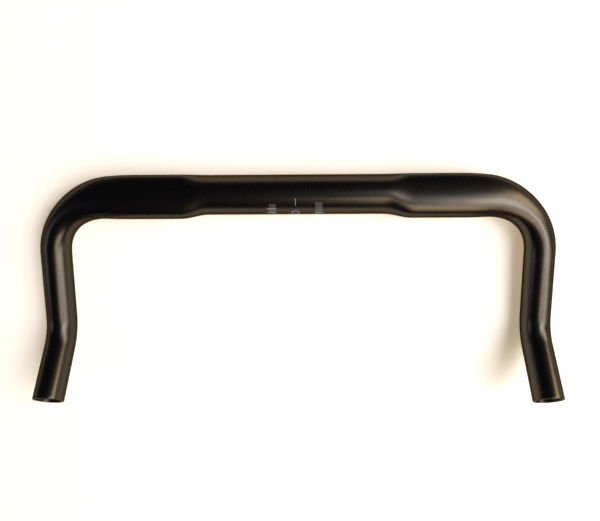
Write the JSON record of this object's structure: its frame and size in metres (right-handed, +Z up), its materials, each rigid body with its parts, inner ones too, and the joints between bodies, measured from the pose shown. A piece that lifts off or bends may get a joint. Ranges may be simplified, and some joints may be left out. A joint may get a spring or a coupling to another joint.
{
  "type": "aero bullhorn handlebar",
  "caption": "Aluminium bullhorn handlebar with a round clamp, wing-shaped tops, square corners that turn forward and open ends that kick up.",
  "frame": {"origin": "middle of the round clamp's axis", "axes": "+X along the clamp's axis to the rider's right, -Y forward along the arms, +Z up, square to the surface that the bar lies on"},
  "size_m": [0.4238, 0.1853, 0.0532],
  "materials": {
    "satin_black": "satin black anodised"
  },
  "bodies": {
    "root": {"handlebar": "satin_black"}
  },
  "joints": []
}
